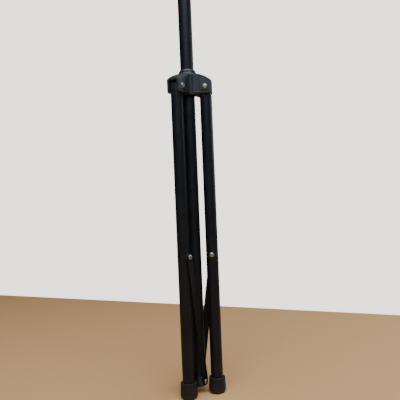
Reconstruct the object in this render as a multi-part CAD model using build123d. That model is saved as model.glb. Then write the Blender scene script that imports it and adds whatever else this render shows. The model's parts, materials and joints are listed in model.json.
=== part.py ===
from build123d import *
import os
from math import asin, cos, degrees, radians, sin, sqrt

# A folding microphone stand with a boom, folded up and standing on its three feet.
# Millimetres. The column axis is Z and the floor is Z = 0. Each leg group is drawn with the leg
# on +X, so that X is the way out from the column and Y runs along the hinge pins, and is then
# turned about Z to its own azimuth.

# ---- driving dimensions -------------------------------------------------------------------

FIRST_LEG_AZIMUTH = -7.8
LEG_COUNT = 3
LEG_RADIUS = 29.4            # column axis to leg axis
HINGE_HEIGHT = 505.0         # floor to the pins that the legs hang from
LEG_PIVOT_DROP = 275.0       # hinge pin down to the strut's pivot on the leg
COLUMN_PIVOT_HEIGHT = 20.0   # floor to the strut's pivot on the column
OPEN_ANGLE = 35.0            # leg to column when the tripod is fully open

COLUMN_R = 11.0
COLUMN_WALL = 1.5
LEG_R = 10.0
THIN_WALL = 1.2              # wall of the legs, the inner tube and the boom
MAST_R = 8.0                 # inner tube and boom
STUD_R = 4.76                # 3/8 inch stud, major radius

RUNNING_GAP = 0.08           # radial clearance of pins and guides
LOOSE_GAP = 0.3              # radial clearance of parts that only pass each other
SIDE_GAP = 0.15              # between flat faces that turn against each other
EDGE_CHAMFER = 1.5
PAST = 1.0                   # how far a cutting shape goes past the face that it cuts

# ---- leg housing --------------------------------------------------------------------------

HOUSING_BOTTOM = HINGE_HEIGHT - 11.7
HOUSING_TOP = HINGE_HEIGHT + 25.2
BARREL_R = 16.2              # round middle of the housing
CONE_BASE = HINGE_HEIGHT + 20.5
CONE_TOP_R = 14.6
LUG_HALF_WIDTH = 12.8
LUG_REACH = LEG_RADIUS + 10.2
LUG_CORNER = 2.5
LUG_TOE = 3.5
LUG_SHOULDER = 1.0           # rounding along the top edges
ROOF_RIM = (42.5, HINGE_HEIGHT + 9.0)     # radius and height of three points on the domed roof
ROOF_CROWN = (29.5, HINGE_HEIGHT + 18.4)
ROOF_TOP = (15.5, HINGE_HEIGHT + 22.4)
SLOT_HALF_WIDTH = 8.0
SLOT_LIP = HINGE_HEIGHT + 8.4
PAD_INNER = 21.0             # raised pad round the rivet, on both sides of a lug
PAD_OUTER = 36.0
PAD_RISE = 0.9
GROOVE_TOP = HINGE_HEIGHT - 6.0           # groove along the bottom of a lug's sides
GROOVE_BOTTOM = HINGE_HEIGHT - 7.5
GROOVE_DEPTH = 1.3
BUSH_R = 12.0
LIP_R = 14.1                 # collar of the bush, above the housing
LIP_TOP_R = 11.8
LIP_GAP = 0.9                # from the housing to the collar
LIP_EDGE = 0.8               # upright part of the collar's side
LIP_HEIGHT = 5.0             # housing to the top of the collar

# ---- hinge and pivot rivets ---------------------------------------------------------------

PIN_R = 3.0
PIVOT_R = 2.5
RIVET_HEAD_R = 4.2
RIVET_HEAD_H = 2.5

# ---- legs, feet and struts ----------------------------------------------------------------

TONGUE_R = 9.0
LEG_TOP = HINGE_HEIGHT - 14.3
LEG_BOTTOM = 8.0
HEAD_SPIGOT = 25.0
FOOT_R = 14.0
FOOT_TOP_R = 13.2
FOOT_HEIGHT = 26.0
FOOT_EDGE = 6.0              # rounding under the foot
FOOT_GROOVES = (19.5, 23.2)  # heights of the two grooves round the foot
GROOVE_R = 0.7
STRUT_WIDTH = 12.0
STRUT_THICKNESS = 2.0
STRUT_SIDE = COLUMN_R + 0.4  # the strut's inner face, just clear of the column

# ---- locking knob -------------------------------------------------------------------------

KNOB_AZIMUTH = FIRST_LEG_AZIMUTH + 60.0
KNOB_HEIGHT = HINGE_HEIGHT + 4.5
KNOB_R = 15.0
KNOB_FACE = 46.0             # column axis to the knob's outer face
KNOB_THICKNESS = 14.0
KNOB_LOBES = 6
KNOB_LOBE_CUT_R = 4.5
KNOB_EDGE = 2.0
KNOB_NECK_R = 7.0
KNOB_NECK_GAP = 0.5          # from the boss to the knob's neck
BOSS_R = 9.0
BOSS_END = 27.0
LOCK_THREAD_R = 3.0
LOCK_NUT_R = 5.0
LOCK_NUT_LENGTH = 9.0

# ---- column, clutch and inner tube --------------------------------------------------------

COLUMN_END = 11.0            # underside of the column's foot
COLUMN_BOTTOM = 29.0
COLUMN_TOP = 880.0
SPIGOT_LENGTH = 26.0
CLUTCH_BOTTOM = 846.0
CLUTCH_COLLAR_TOP = 866.0
CLUTCH_COLLAR_R = 16.5
CLUTCH_CHAMFER = 2.0
CLUTCH_SLEEVE_R = 13.0
CLUTCH_SLEEVE_TOP = 905.0
COLLET_BOTTOM = 884.0
COLLET_TOP = 914.0
COLLET_R = 9.6
COLLET_CONE_R = 11.2
COLLET_SLOT = 1.5
COLLET_RING = 6.0            # height of the ring below the collet's slots
GRIP_BOTTOM = 867.0
GRIP_TOP = 925.0
GRIP_R = 17.5
GRIP_SHOULDER = 3.0
GRIP_FLUTES = 12
GRIP_FLUTE_R = 2.2
GRIP_PLAIN_BELOW = 6.0       # plain ring below the flutes
GRIP_PLAIN_ABOVE = 8.0       # plain ring above the flutes
GRIP_HEADROOM = 2.0          # above the collet
GUIDE_LENGTH = 12.0
MAST_BOTTOM = 350.0
MAST_TOP = 960.0
STUD_FLANGE = 3.0
STUD_LENGTH = 20.0

# ---- boom joint and boom ------------------------------------------------------------------

TILT_HEIGHT = 1026.0         # height of the bolt that the boom tilts on
YOKE_R = 9.2                 # slim enough for the boom to swing past
YOKE_SOCKET_LENGTH = 24.0
DISC_R = 19.0
DISC_HALF = 4.0
FRICTION_DISC_R = 18.0
FRICTION_DISC_THICKNESS = 1.5
BOLT_R = 4.0
BOLT_HEAD_R = 7.5
BOLT_HEAD_H = 5.0
BOOM_X = 21.0
BOOM_Y = -18.0
CLAMP_WALL = 5.0
CLAMP_HALF_HEIGHT = 17.0
CLAMP_SLIT = 2.0
CLAMP_EDGE = 4.0
CLAMP_FACE_EDGE = 2.0
WASHER_R = 9.0
WASHER_THICKNESS = 1.5
HANDLE_HUB_R = 9.0
HANDLE_HUB_LENGTH = 15.0
HANDLE_CAP = 2.0             # thickness over the end of the bolt
HANDLE_BAR_R = 5.0
HANDLE_BAR_LENGTH = 72.0
HANDLE_BAR_EDGE = 4.0
BOOM_BOTTOM = 940.0
BOOM_LENGTH = 650.0
BOOM_CAP_R = 8.4
BOOM_CAP_THICKNESS = 8.0
BOOM_CAP_EDGE = 3.0
PLUG_LENGTH = 20.0
MIC_FLANGE = 6.0
MIC_STUD_LENGTH = 12.0

# ---- worked out from the above ------------------------------------------------------------

LEG_PIVOT_HEIGHT = HINGE_HEIGHT - LEG_PIVOT_DROP
STRUT_RISE = LEG_PIVOT_HEIGHT - COLUMN_PIVOT_HEIGHT
STRUT_CENTRES = sqrt(STRUT_RISE ** 2 + LEG_RADIUS ** 2)
STRUT_OUTSIDE = STRUT_SIDE + STRUT_THICKNESS
LEG_BORE = LEG_R - THIN_WALL
MAST_BORE = MAST_R - THIN_WALL
COLUMN_BORE = COLUMN_R - COLUMN_WALL
CLAMP_BACK = -DISC_HALF - FRICTION_DISC_THICKNESS - SIDE_GAP
CLAMP_FRONT = BOOM_Y - MAST_R - CLAMP_WALL
WASHER_FRONT = CLAMP_FRONT - SIDE_GAP - WASHER_THICKNESS
HANDLE_BACK = WASHER_FRONT - SIDE_GAP
HANDLE_FRONT = HANDLE_BACK - HANDLE_HUB_LENGTH
BOOM_TOP = BOOM_BOTTOM + BOOM_LENGTH


def open_travel():
    """How far the housing comes down the column as the legs go from folded to open."""
    reach = LEG_RADIUS + LEG_PIVOT_DROP * sin(radians(OPEN_ANGLE))
    open_drop = LEG_PIVOT_DROP * cos(radians(OPEN_ANGLE)) + sqrt(STRUT_CENTRES ** 2 - reach ** 2)
    return LEG_PIVOT_DROP + STRUT_RISE - open_drop


def strut_swing():
    """How far a strut turns on its leg as the legs go from folded to open, in degrees."""
    reach = LEG_RADIUS + LEG_PIVOT_DROP * sin(radians(OPEN_ANGLE))
    folded = degrees(asin(LEG_RADIUS / STRUT_CENTRES))
    return degrees(asin(reach / STRUT_CENTRES)) - folded + OPEN_ANGLE


# ---- shapes used more than once -----------------------------------------------------------

def rod(radius, bottom, top, x=0.0, y=0.0):
    """An upright cylinder."""
    return Pos(x, y, (bottom + top) / 2) * Cylinder(radius, top - bottom)


def tube(outer, inner, bottom, top, x=0.0, y=0.0):
    """An upright tube."""
    return rod(outer, bottom, top, x, y) - rod(inner, bottom, top, x, y)


def cross_rod(radius, start, end, x, z):
    """A cylinder along Y."""
    return Pos(x, (start + end) / 2, z) * Rot(90, 0, 0) * Cylinder(radius, abs(end - start))


def block(x_range, y_range, z_range):
    """A box between two values on each axis."""
    spans = [high - low for low, high in (x_range, y_range, z_range)]
    middles = [(low + high) / 2 for low, high in (x_range, y_range, z_range)]
    return Pos(*middles) * Box(*spans)


def dome(radius, height, seat, side, x, z):
    """A low round rivet head along Y, seated at Y = seat, on the +1 or -1 side of it."""
    sphere_r = (radius ** 2 + height ** 2) / (2 * height)
    ball = Pos(x, seat + side * (height - sphere_r), z) * Sphere(sphere_r)
    return ball & cross_rod(radius, seat, seat + side * height, x, z)


def spun(corners):
    """A straight-sided outline of (radius, height) corners, spun about the column axis."""
    return revolve(Plane.XZ * make_face(Polyline(*corners, close=True)), Axis.Z)


def turned(shape, azimuth):
    """The shape turned about the column axis."""
    return Rot(0, 0, azimuth) * shape


def azimuth_of(index):
    """Azimuth of a leg, in degrees. The legs are numbered clockwise from above."""
    return FIRST_LEG_AZIMUTH - index * 360.0 / LEG_COUNT


def all_round(shape):
    """One copy of the shape for each leg."""
    return [turned(shape, azimuth_of(index)) for index in range(LEG_COUNT)]


# ---- leg housing --------------------------------------------------------------------------

def make_barrel():
    """The round middle of the housing, with its conical top."""
    return spun([
        (0, HOUSING_BOTTOM),
        (BARREL_R, HOUSING_BOTTOM),
        (BARREL_R, CONE_BASE),
        (CONE_TOP_R, HOUSING_TOP),
        (0, HOUSING_TOP),
    ])


def make_roof():
    """Everything under the domed roof of the housing."""
    half = Plane.XZ * make_face(Curve() + [
        Line((0, HOUSING_BOTTOM), (ROOF_RIM[0], HOUSING_BOTTOM)),
        Line((ROOF_RIM[0], HOUSING_BOTTOM), ROOF_RIM),
        ThreePointArc(ROOF_RIM, ROOF_CROWN, ROOF_TOP),
        Line(ROOF_TOP, (0, ROOF_TOP[1])),
        Line((0, ROOF_TOP[1]), (0, HOUSING_BOTTOM)),
    ])
    return revolve(half, Axis.Z)


def make_cheek_cuts():
    """The cuts in a lug's sides: a step up to the pad round the rivet, and a groove under it."""
    cuts = []
    for side in (-1, 1):
        outside = side * (LUG_HALF_WIDTH + PAST)
        step_faces = sorted((side * (LUG_HALF_WIDTH - PAD_RISE), outside))
        groove_faces = sorted((side * (LUG_HALF_WIDTH - GROOVE_DEPTH), outside))
        cuts.append(block((0, PAD_INNER), step_faces, (GROOVE_BOTTOM, HOUSING_TOP)))
        cuts.append(block((0, PAD_OUTER), groove_faces, (GROOVE_BOTTOM, GROOVE_TOP)))
    return cuts


def make_lug():
    """One arm of the housing: an upright slab under the domed roof."""
    sides = (-LUG_HALF_WIDTH, LUG_HALF_WIDTH)
    lug = block((0, LUG_REACH), sides, (HOUSING_BOTTOM, HOUSING_TOP))
    lug = fillet(lug.edges().filter_by(Axis.Z).group_by(Axis.X)[-1], LUG_CORNER)
    toe = lug.edges().filter_by(Axis.Y).group_by(Axis.X)[-1].sort_by(Axis.Z)[0]
    lug = fillet(toe, LUG_TOE) & make_roof()
    roof = lug.faces().filter_by(GeomType.REVOLUTION).sort_by(Axis.Z)[-1]
    rim = [edge for edge in roof.edges() if edge.center().X > BARREL_R]
    lug = fillet(rim, LUG_SHOULDER)
    for cut in make_cheek_cuts():
        lug -= cut
    return lug


def make_slot():
    """The space in a lug that the head of a leg turns in."""
    walls = (-SLOT_HALF_WIDTH, SLOT_HALF_WIDTH)
    round_end = TONGUE_R + 2 * SIDE_GAP
    below = HOUSING_BOTTOM - PAST
    outside = LUG_REACH + PAST
    top = cross_rod(round_end, *walls, LEG_RADIUS, HINGE_HEIGHT)
    under = block((LEG_RADIUS - round_end, outside), walls, (below, HINGE_HEIGHT))
    mouth = block((LEG_RADIUS, outside), walls, (HINGE_HEIGHT - PAST, SLOT_LIP))
    return top + under + mouth


def make_pin_hole():
    """The hole for a hinge pin, through one lug."""
    half_length = LUG_HALF_WIDTH + PAST
    return cross_rod(PIN_R, -half_length, half_length, LEG_RADIUS, HINGE_HEIGHT)


def lock_rod(radius, end):
    """A cylinder from the column axis out along +X, at the height of the locking knob."""
    return Pos(end / 2, 0, KNOB_HEIGHT) * Rot(0, 90, 0) * Cylinder(radius, end)


def lock_hole():
    """The clear hole for the locking screw, out to past the end of the boss."""
    return lock_rod(LOCK_THREAD_R + LOOSE_GAP, BOSS_END + PAST)


def nut_space():
    """The pocket in the boss for the locking nut."""
    middle = BOSS_END - LOCK_NUT_LENGTH / 2
    return Pos(middle, 0, KNOB_HEIGHT) * Rot(0, 90, 0) * Cylinder(LOCK_NUT_R, LOCK_NUT_LENGTH)


def make_leg_housing():
    """The moulded housing that slides on the column and carries the three legs."""
    body = make_barrel()
    for lug in all_round(make_lug()):
        body += lug
    body += turned(lock_rod(BOSS_R, BOSS_END), KNOB_AZIMUTH)
    cuts = [rod(BUSH_R, HOUSING_BOTTOM - PAST, HOUSING_TOP + PAST)]
    cuts += [turned(lock_hole(), KNOB_AZIMUTH), turned(nut_space(), KNOB_AZIMUTH)]
    for cut in [make_slot(), make_pin_hole()]:
        cuts += all_round(cut)
    for cut in cuts:
        body -= cut
    return body


def make_housing_bush():
    """The plastic sleeve between the housing and the column, with a collar above the housing."""
    bore_r = COLUMN_R + RUNNING_GAP
    lip_base = HOUSING_TOP + LIP_GAP
    lip_top = HOUSING_TOP + LIP_HEIGHT
    bush = spun([
        (bore_r, HOUSING_BOTTOM),
        (BUSH_R, HOUSING_BOTTOM),
        (BUSH_R, lip_base),
        (LIP_R, lip_base),
        (LIP_R, lip_base + LIP_EDGE),
        (LIP_TOP_R, lip_top),
        (bore_r, lip_top),
    ])
    return bush - turned(lock_hole(), KNOB_AZIMUTH)


def make_hinge_rivets():
    """One rivet through each lug, as separate solids in one node."""
    rivet = cross_rod(PIN_R, -LUG_HALF_WIDTH, LUG_HALF_WIDTH, LEG_RADIUS, HINGE_HEIGHT)
    for side in (-1, 1):
        rivet += dome(RIVET_HEAD_R, RIVET_HEAD_H, side * LUG_HALF_WIDTH, side, LEG_RADIUS, HINGE_HEIGHT)
    return Compound(children=all_round(rivet))


# ---- locking knob -------------------------------------------------------------------------

def make_lock_nut():
    """The brass insert in the boss."""
    return turned(nut_space() - lock_rod(LOCK_THREAD_R, BOSS_END + PAST), KNOB_AZIMUTH)


def make_lock_screw():
    """The screw that presses on the column."""
    tip = COLUMN_R + SIDE_GAP
    end = KNOB_FACE - KNOB_THICKNESS / 2
    shank = lock_rod(LOCK_THREAD_R - RUNNING_GAP, end) - lock_rod(LOCK_THREAD_R + PAST, tip)
    return turned(shank, KNOB_AZIMUTH)


def make_lock_knob():
    """A lobed hand knob on a short neck."""
    back = KNOB_FACE - KNOB_THICKNESS
    neck_start = BOSS_END + KNOB_NECK_GAP
    disc = Cylinder(KNOB_R, KNOB_THICKNESS)
    disc = fillet(disc.edges().filter_by(GeomType.CIRCLE), KNOB_EDGE)
    for cut in PolarLocations(KNOB_R + KNOB_LOBE_CUT_R / 2, KNOB_LOBES):
        disc -= cut * Cylinder(KNOB_LOBE_CUT_R, KNOB_THICKNESS)
    knob = Pos((back + KNOB_FACE) / 2, 0, KNOB_HEIGHT) * Rot(0, 90, 0) * disc
    neck = lock_rod(KNOB_NECK_R, back) - lock_rod(BOSS_R, neck_start)
    bore = lock_rod(LOCK_THREAD_R - RUNNING_GAP, KNOB_FACE - KNOB_THICKNESS / 2)
    return turned(knob + neck - bore, KNOB_AZIMUTH)


# ---- legs and struts ----------------------------------------------------------------------

def make_leg_tube():
    """A leg's steel tube, drilled for the strut's pivot."""
    leg = tube(LEG_R, LEG_BORE, LEG_BOTTOM, LEG_TOP, LEG_RADIUS)
    return leg - cross_rod(PIVOT_R, -LEG_R - PAST, LEG_R + PAST, LEG_RADIUS, LEG_PIVOT_HEIGHT)


def make_leg_head():
    """The plug in the top of a leg, with the tongue that turns on the hinge pin."""
    half_width = SLOT_HALF_WIDTH - 2 * SIDE_GAP
    faces = (-half_width, half_width)
    tongue = cross_rod(TONGUE_R, *faces, LEG_RADIUS, HINGE_HEIGHT)
    tongue += block((LEG_RADIUS - TONGUE_R, LEG_RADIUS + TONGUE_R), faces, (LEG_TOP, HINGE_HEIGHT))
    tongue &= rod(LEG_R, LEG_TOP, HINGE_HEIGHT + TONGUE_R, LEG_RADIUS)
    head = tongue + rod(LEG_BORE, LEG_TOP - HEAD_SPIGOT, LEG_TOP, LEG_RADIUS)
    return head - cross_rod(PIN_R + RUNNING_GAP, -LEG_R, LEG_R, LEG_RADIUS, HINGE_HEIGHT)


def make_foot():
    """A rubber cup on the bottom of a leg, with two grooves under its rim."""
    side = Line((FOOT_R, FOOT_EDGE), (FOOT_TOP_R, FOOT_HEIGHT))
    half = Plane.XZ * make_face(Curve() + [
        Line((0, 0), (FOOT_R - FOOT_EDGE, 0)),
        RadiusArc((FOOT_R - FOOT_EDGE, 0), (FOOT_R, FOOT_EDGE), -FOOT_EDGE),
        side,
        Line((FOOT_TOP_R, FOOT_HEIGHT), (0, FOOT_HEIGHT)),
        Line((0, FOOT_HEIGHT), (0, 0)),
    ])
    cup = revolve(half, Axis.Z)
    for height in FOOT_GROOVES:
        along = (height - FOOT_EDGE) / (FOOT_HEIGHT - FOOT_EDGE)
        cup -= Pos(0, 0, height) * Torus((side @ along).X, GROOVE_R)
    return Pos(LEG_RADIUS, 0, 0) * (cup - rod(LEG_R, LEG_BOTTOM, FOOT_HEIGHT + PAST))


def make_strut_spacer():
    """A saddle washer that carries the strut just clear of the column."""
    spacer = cross_rod(STRUT_WIDTH / 2, 0, STRUT_SIDE - SIDE_GAP, LEG_RADIUS, LEG_PIVOT_HEIGHT)
    spacer -= rod(LEG_R, LEG_PIVOT_HEIGHT - STRUT_WIDTH, LEG_PIVOT_HEIGHT + STRUT_WIDTH, LEG_RADIUS)
    return spacer - cross_rod(PIVOT_R, 0, STRUT_SIDE, LEG_RADIUS, LEG_PIVOT_HEIGHT)


def make_leg_rivet():
    """The rivet through a leg, its spacer and its strut. One head lies on the round of the leg."""
    head_seat = STRUT_OUTSIDE + SIDE_GAP
    tube_seat = -sqrt(LEG_R ** 2 - RIVET_HEAD_R ** 2)
    tail_height = RIVET_HEAD_H + LEG_R + tube_seat
    rivet = cross_rod(PIVOT_R, -LEG_R, head_seat, LEG_RADIUS, LEG_PIVOT_HEIGHT)
    rivet += dome(RIVET_HEAD_R, RIVET_HEAD_H, head_seat, 1, LEG_RADIUS, LEG_PIVOT_HEIGHT)
    tail = dome(RIVET_HEAD_R, tail_height, tube_seat, -1, LEG_RADIUS, LEG_PIVOT_HEIGHT)
    tail -= rod(LEG_R, LEG_PIVOT_HEIGHT - LEG_R, LEG_PIVOT_HEIGHT + LEG_R, LEG_RADIUS)
    return rivet + tail


def make_strut():
    """A flat steel strip with round ends, from the leg down to the foot of the column."""
    middle = (LEG_RADIUS / 2, STRUT_SIDE, COLUMN_PIVOT_HEIGHT + STRUT_RISE / 2)
    flat = Plane(middle, x_dir=(LEG_RADIUS, 0, STRUT_RISE), z_dir=(0, 1, 0))
    strip = extrude(flat * SlotCenterToCenter(STRUT_CENTRES, STRUT_WIDTH), STRUT_THICKNESS)
    faces = (STRUT_SIDE - PAST, STRUT_OUTSIDE + PAST)
    strip -= cross_rod(PIVOT_R + RUNNING_GAP, *faces, LEG_RADIUS, LEG_PIVOT_HEIGHT)
    return strip - cross_rod(PIVOT_R, *faces, 0, COLUMN_PIVOT_HEIGHT)


def make_strut_rivet():
    """The rivet at a strut's lower end. It stops at the strut's inner face."""
    rivet = cross_rod(PIVOT_R, STRUT_SIDE, STRUT_OUTSIDE, 0, COLUMN_PIVOT_HEIGHT)
    return rivet + dome(RIVET_HEAD_R, RIVET_HEAD_H, STRUT_OUTSIDE, 1, 0, COLUMN_PIVOT_HEIGHT)


# ---- column -------------------------------------------------------------------------------

def make_column_foot():
    """The plug in the bottom of the column, drilled for the three lower rivets."""
    plug = rod(COLUMN_R, COLUMN_END, COLUMN_BOTTOM)
    plug = chamfer(plug.edges().group_by(Axis.Z)[0], EDGE_CHAMFER)
    plug += rod(COLUMN_BORE, COLUMN_BOTTOM, COLUMN_BOTTOM + SPIGOT_LENGTH)
    for hole in all_round(cross_rod(PIVOT_R, COLUMN_R / 2, COLUMN_R + PAST, 0, COLUMN_PIVOT_HEIGHT)):
        plug -= hole
    return plug


def make_clutch_body():
    """The threaded sleeve on top of the column."""
    body = tube(CLUTCH_COLLAR_R, COLUMN_R, CLUTCH_BOTTOM, CLUTCH_COLLAR_TOP)
    body = chamfer(body.edges().group_by(Axis.Z)[0].sort_by(SortBy.RADIUS)[-1], CLUTCH_CHAMFER)
    body += tube(CLUTCH_SLEEVE_R, COLUMN_R, CLUTCH_COLLAR_TOP, COLUMN_TOP)
    return body + tube(CLUTCH_SLEEVE_R, COLLET_R, COLUMN_TOP, CLUTCH_SLEEVE_TOP)


def make_clutch_collet():
    """The split nylon ring that grips the inner tube."""
    collet = rod(COLLET_R, COLLET_BOTTOM, CLUTCH_SLEEVE_TOP)
    cone_height = COLLET_TOP - CLUTCH_SLEEVE_TOP
    collet += Pos(0, 0, CLUTCH_SLEEVE_TOP + cone_height / 2) * Cone(COLLET_CONE_R, COLLET_R, cone_height)
    collet -= rod(MAST_R + RUNNING_GAP, COLLET_BOTTOM - PAST, COLLET_TOP + PAST)
    faces = (-COLLET_SLOT / 2, COLLET_SLOT / 2)
    heights = (COLLET_BOTTOM + COLLET_RING, COLLET_TOP + PAST)
    for angle in (0, 90):
        collet -= turned(block((-COLLET_CONE_R, COLLET_CONE_R), faces, heights), angle)
    return collet


def make_clutch_grip():
    """The fluted nut that closes the collet."""
    grip = rod(GRIP_R, GRIP_BOTTOM, GRIP_TOP)
    grip = chamfer(grip.edges().group_by(Axis.Z)[-1], GRIP_SHOULDER)
    flute = rod(GRIP_FLUTE_R, GRIP_BOTTOM + GRIP_PLAIN_BELOW, GRIP_TOP - GRIP_PLAIN_ABOVE)
    for place in PolarLocations(GRIP_R + GRIP_FLUTE_R / 2, GRIP_FLUTES):
        grip -= place * flute
    grip -= rod(CLUTCH_SLEEVE_R + LOOSE_GAP, GRIP_BOTTOM - PAST, CLUTCH_SLEEVE_TOP + PAST)
    grip -= rod(COLLET_CONE_R + LOOSE_GAP, CLUTCH_SLEEVE_TOP, COLLET_TOP + GRIP_HEADROOM)
    return grip - rod(MAST_R + LOOSE_GAP, COLLET_TOP, GRIP_TOP + PAST)


# ---- inner tube and boom joint ------------------------------------------------------------

def make_guide_plug():
    """The plastic guide at the bottom of the inner tube. The tube turns on its spigot."""
    flange = rod(COLUMN_BORE - RUNNING_GAP, MAST_BOTTOM - SIDE_GAP - GUIDE_LENGTH, MAST_BOTTOM - SIDE_GAP)
    return flange + rod(MAST_BORE - RUNNING_GAP, MAST_BOTTOM - SIDE_GAP, MAST_BOTTOM + 2 * GUIDE_LENGTH)


def make_mast_stud():
    """The plug in the top of the inner tube, with its stud."""
    flange_top = MAST_TOP + STUD_FLANGE
    plug = rod(MAST_BORE, MAST_TOP - PLUG_LENGTH, MAST_TOP)
    return plug + rod(MAST_R, MAST_TOP, flange_top) + rod(STUD_R, flange_top, flange_top + STUD_LENGTH)


def make_boom_yoke():
    """The casting that screws on the stud and carries the fixed half of the tilt joint."""
    base = MAST_TOP + STUD_FLANGE
    socket_top = base + YOKE_SOCKET_LENGTH
    socket = rod(YOKE_R, base, socket_top)
    socket = chamfer(socket.edges().group_by(Axis.Z)[0], EDGE_CHAMFER)
    web = block((-YOKE_R, YOKE_R), (-DISC_HALF, DISC_HALF), (socket_top - PAST, TILT_HEIGHT))
    disc = cross_rod(DISC_R, -DISC_HALF, DISC_HALF, 0, TILT_HEIGHT)
    yoke = socket + web + disc
    yoke -= rod(STUD_R, base - PAST, base + STUD_LENGTH)
    return yoke - cross_rod(BOLT_R, -DISC_HALF - PAST, DISC_HALF + PAST, 0, TILT_HEIGHT)


def make_friction_disc():
    """The washer between the two halves of the tilt joint."""
    front = -DISC_HALF - FRICTION_DISC_THICKNESS
    disc = cross_rod(FRICTION_DISC_R, front, -DISC_HALF, 0, TILT_HEIGHT)
    return disc - cross_rod(BOLT_R, front - PAST, -DISC_HALF + PAST, 0, TILT_HEIGHT)


def make_clamp_bolt():
    """The hexagon-headed bolt through the tilt joint."""
    shank = cross_rod(BOLT_R, HANDLE_FRONT + HANDLE_CAP, DISC_HALF, 0, TILT_HEIGHT)
    hexagon = Plane.XZ.offset(-DISC_HALF) * Pos(0, TILT_HEIGHT) * RegularPolygon(BOLT_HEAD_R, 6)
    return shank + extrude(hexagon, -BOLT_HEAD_H)


def make_clamp_washer():
    """The washer under the handle."""
    washer = cross_rod(WASHER_R, WASHER_FRONT, WASHER_FRONT + WASHER_THICKNESS, 0, TILT_HEIGHT)
    return washer - cross_rod(BOLT_R, WASHER_FRONT - PAST, CLAMP_FRONT, 0, TILT_HEIGHT)


def make_boom_clamp():
    """The slit block that turns on the bolt and grips the boom."""
    heights = (TILT_HEIGHT - CLAMP_HALF_HEIGHT, TILT_HEIGHT + CLAMP_HALF_HEIGHT)
    left = -CLAMP_HALF_HEIGHT
    right = BOOM_X + MAST_R + CLAMP_WALL
    body = block((left, right), (CLAMP_FRONT, CLAMP_BACK), heights)
    body = fillet(body.edges().filter_by(Axis.Y), CLAMP_EDGE)
    body = fillet(body.faces().sort_by(Axis.Y)[0].outer_wire().edges(), CLAMP_FACE_EDGE)
    through = (heights[0] - PAST, heights[1] + PAST)
    body -= rod(MAST_R + RUNNING_GAP, *through, BOOM_X, BOOM_Y)
    slit_faces = (BOOM_Y - CLAMP_SLIT / 2, BOOM_Y + CLAMP_SLIT / 2)
    body -= block((left - PAST, BOOM_X), slit_faces, through)
    bolt_hole = cross_rod(BOLT_R + RUNNING_GAP, CLAMP_FRONT - PAST, CLAMP_BACK + PAST, 0, TILT_HEIGHT)
    return body - bolt_hole


def make_clamp_handle():
    """The T-handle on the bolt."""
    bar_y = (HANDLE_BACK + HANDLE_FRONT) / 2
    hub = cross_rod(HANDLE_HUB_R, HANDLE_FRONT, HANDLE_BACK, 0, TILT_HEIGHT)
    bar = Pos(0, bar_y, TILT_HEIGHT) * Rot(0, 90, 0) * Cylinder(HANDLE_BAR_R, HANDLE_BAR_LENGTH)
    bar = fillet(bar.edges().filter_by(GeomType.CIRCLE), HANDLE_BAR_EDGE)
    bolt_end = HANDLE_FRONT + HANDLE_CAP
    bolt_hole = cross_rod(BOLT_R + RUNNING_GAP, bolt_end, HANDLE_BACK + PAST, 0, TILT_HEIGHT)
    return hub + bar - bolt_hole


# ---- boom ---------------------------------------------------------------------------------

def make_boom_end_cap():
    """The rubber plug in the rear end of the boom."""
    plug = rod(MAST_BORE, BOOM_BOTTOM, BOOM_BOTTOM + PLUG_LENGTH, BOOM_X, BOOM_Y)
    cap = rod(BOOM_CAP_R, BOOM_BOTTOM - BOOM_CAP_THICKNESS, BOOM_BOTTOM, BOOM_X, BOOM_Y)
    return plug + fillet(cap.edges().group_by(Axis.Z)[0], BOOM_CAP_EDGE)


def make_mic_stud():
    """The plug in the front end of the boom, with the stud that a microphone holder screws on."""
    flange_top = BOOM_TOP + MIC_FLANGE
    plug = rod(MAST_BORE, BOOM_TOP - PLUG_LENGTH, BOOM_TOP, BOOM_X, BOOM_Y)
    flange = rod(MAST_R, BOOM_TOP, flange_top, BOOM_X, BOOM_Y)
    return plug + flange + rod(STUD_R, flange_top, flange_top + MIC_STUD_LENGTH, BOOM_X, BOOM_Y)


# ---- every node ---------------------------------------------------------------------------

def make_nodes():
    """Every sub-part by its node name."""
    nodes = {
        "leg_housing": make_leg_housing(),
        "housing_bush": make_housing_bush(),
        "leg_hinge_rivets": make_hinge_rivets(),
        "lock_nut": make_lock_nut(),
        "lock_screw": make_lock_screw(),
        "lock_knob": make_lock_knob(),
        "column_tube": tube(COLUMN_R, COLUMN_BORE, COLUMN_BOTTOM, COLUMN_TOP),
        "column_foot": make_column_foot(),
        "clutch_body": make_clutch_body(),
        "clutch_collet": make_clutch_collet(),
        "clutch_grip": make_clutch_grip(),
        "guide_plug": make_guide_plug(),
        "inner_tube": tube(MAST_R, MAST_BORE, MAST_BOTTOM, MAST_TOP),
        "mast_stud": make_mast_stud(),
        "boom_yoke": make_boom_yoke(),
        "friction_disc": make_friction_disc(),
        "clamp_bolt": make_clamp_bolt(),
        "clamp_washer": make_clamp_washer(),
        "boom_clamp": make_boom_clamp(),
        "clamp_handle": make_clamp_handle(),
        "boom_tube": tube(MAST_R, MAST_BORE, BOOM_BOTTOM, BOOM_TOP, BOOM_X, BOOM_Y),
        "boom_end_cap": make_boom_end_cap(),
        "mic_stud": make_mic_stud(),
    }
    leg_group = {
        "leg_tube": make_leg_tube(),
        "leg_head": make_leg_head(),
        "foot": make_foot(),
        "strut_spacer": make_strut_spacer(),
        "leg_rivet": make_leg_rivet(),
        "strut": make_strut(),
        "strut_rivet": make_strut_rivet(),
    }
    for name, shape in leg_group.items():
        for number, copy in enumerate(all_round(shape), start=1):
            nodes[f"{name}_{number}"] = copy
    return nodes


os.makedirs("parts", exist_ok=True)
for node_name, solid in make_nodes().items():
    export_step(solid, f"parts/{node_name}.step")
print("column slide when the legs open:", round(open_travel(), 3), "mm")
print("strut turn on its leg:", round(strut_swing(), 3), "degrees")
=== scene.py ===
import json
import math

import bmesh
import bpy
from mathutils import Matrix, Vector


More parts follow.
